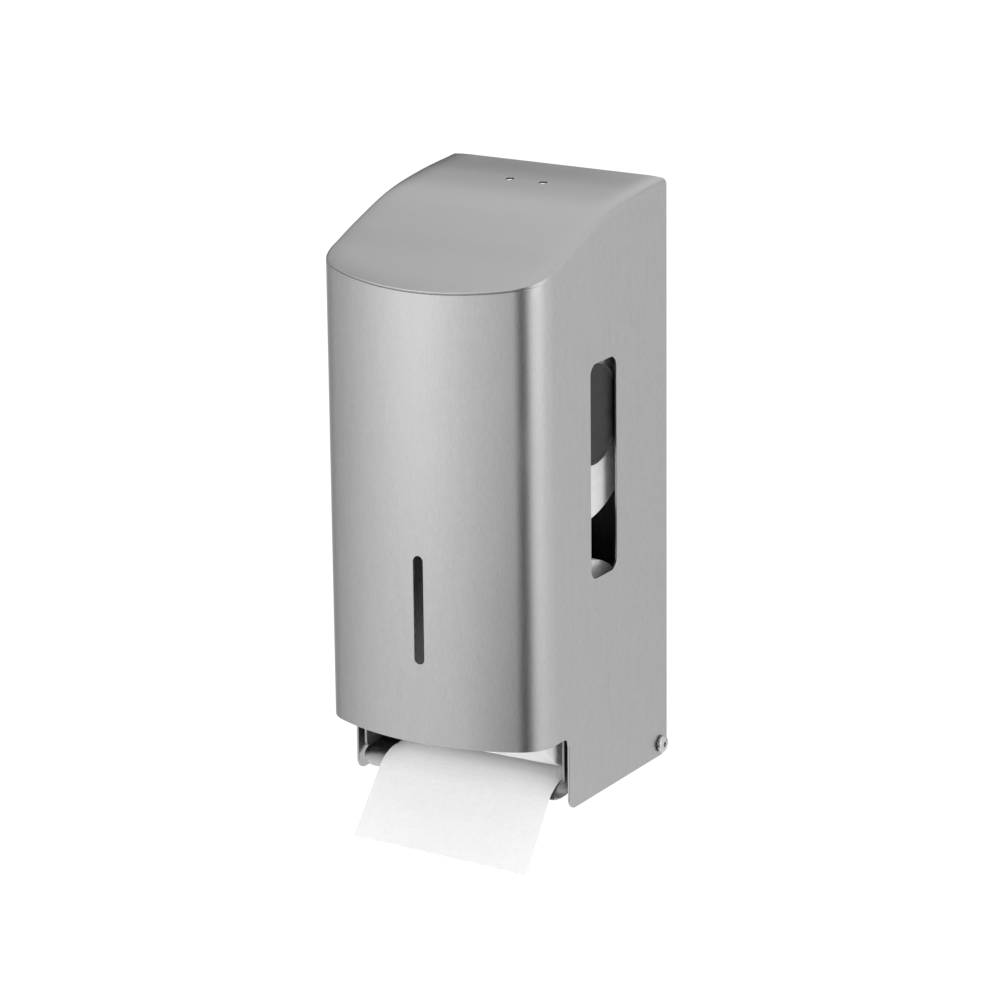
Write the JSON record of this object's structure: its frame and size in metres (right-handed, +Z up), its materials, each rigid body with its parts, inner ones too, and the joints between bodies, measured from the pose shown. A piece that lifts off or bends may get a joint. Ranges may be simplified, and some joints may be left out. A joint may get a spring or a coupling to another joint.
{
  "type": "double roll toilet paper dispenser",
  "caption": "Wall dispenser in brushed steel with a hinged bowed cover, a reserve roll held above the roll in use, side window, level slot, rolled paper lip and pressed top latch.",
  "frame": {"origin": "on the back plate's rear face, on the middle line, half way up the cover", "axes": "+Z up, +Y into the wall, the bowed front faces -Y, +X towards the side with the window"},
  "size_m": [0.1334, 0.1464, 0.3341],
  "materials": {
    "brushed_cover": "satin, brushed upright",
    "chassis_steel": "mill finish sheet",
    "bright_steel": "bright turned and stamped steel",
    "spring_steel": "hard rolled spring strip",
    "nylon": "natural moulded",
    "grey_plastic": "fine moulded grain",
    "tissue": "soft embossed tissue",
    "cardboard": "spiral wound card"
  },
  "bodies": {
    "chassis": {"back_plate": "chassis_steel", "cheek_left": "chassis_steel", "cheek_right": "chassis_steel", "paper_shelf": "chassis_steel", "paper_tail": "tissue", "cheek_rivet_left_low": "bright_steel", "cheek_rivet_left_mid": "bright_steel", "cheek_rivet_left_top": "bright_steel", "cheek_rivet_right_low": "bright_steel", "cheek_rivet_right_mid": "bright_steel", "cheek_rivet_right_top": "bright_steel", "shelf_rivet_left": "bright_steel", "shelf_rivet_right": "bright_steel", "latch_rivet_left": "bright_steel", "latch_rivet_right": "bright_steel", "pivot_screw_left": "bright_steel", "pivot_screw_right": "bright_steel", "pivot_nut_left": "bright_steel", "pivot_nut_right": "bright_steel", "pivot_bush_left": "nylon", "pivot_bush_right": "nylon", "stop_pin_left": "bright_steel", "stop_pin_right": "bright_steel"},
    "cover": {"cover_wrap": "brushed_cover", "cover_top": "brushed_cover", "cover_catch": "brushed_cover"},
    "latch": {"latch_leaf": "spring_steel", "latch_hook": "bright_steel"},
    "left_stop": {"reserve_stop_left": "bright_steel"},
    "right_stop": {"reserve_stop_right": "bright_steel"},
    "upper_spindle": {"upper_spindle_socket": "grey_plastic", "upper_spindle_plug": "grey_plastic"},
    "upper_roll": {"upper_paper_roll": "tissue", "upper_card_core": "cardboard"},
    "lower_spindle": {"lower_spindle_socket": "grey_plastic", "lower_spindle_plug": "grey_plastic"},
    "lower_roll": {"lower_paper_roll": "tissue", "lower_card_core": "cardboard"}
  },
  "joints": [
    {"name": "cover_hinge", "type": "hinge", "parent": "chassis", "child": "cover", "pos_m": [0, -0.0072, -0.1485], "axis": [1, 0, 0], "range_deg": [0, 95]},
    {"name": "latch_press", "type": "hinge", "parent": "chassis", "child": "latch", "pos_m": [0, -0.014, 0.1386], "axis": [1, 0, 0], "range_deg": [0, 8], "stiffness_Nm_per_rad": 1, "deforming": ["latch_leaf"]},
    {"name": "left_stop_swing", "type": "hinge", "parent": "chassis", "child": "left_stop", "pos_m": [-0.0609, -0.1046, 0.01001], "axis": [1, 0, 0], "range_deg": [0, 40]},
    {"name": "right_stop_swing", "type": "hinge", "parent": "chassis", "child": "right_stop", "pos_m": [0.0609, -0.1046, 0.01001], "axis": [1, 0, 0], "range_deg": [0, 40]},
    {"name": "upper_spindle_lift", "type": "slide", "parent": "chassis", "child": "upper_spindle", "axis": [0, 0, 1], "range_m": [0, 0.0295]},
    {"name": "upper_roll_spin", "type": "hinge", "parent": "upper_spindle", "child": "upper_roll", "pos_m": [0, -0.0707, 0.0458], "axis": [1, 0, 0], "continuous": true},
    {"name": "lower_spindle_lift", "type": "slide", "parent": "chassis", "child": "lower_spindle", "axis": [0, 0, 1], "range_m": [0, 0.019]},
    {"name": "lower_roll_spin", "type": "hinge", "parent": "lower_spindle", "child": "lower_roll", "pos_m": [0, -0.0707, -0.087], "axis": [1, 0, 0], "continuous": true}
  ]
}
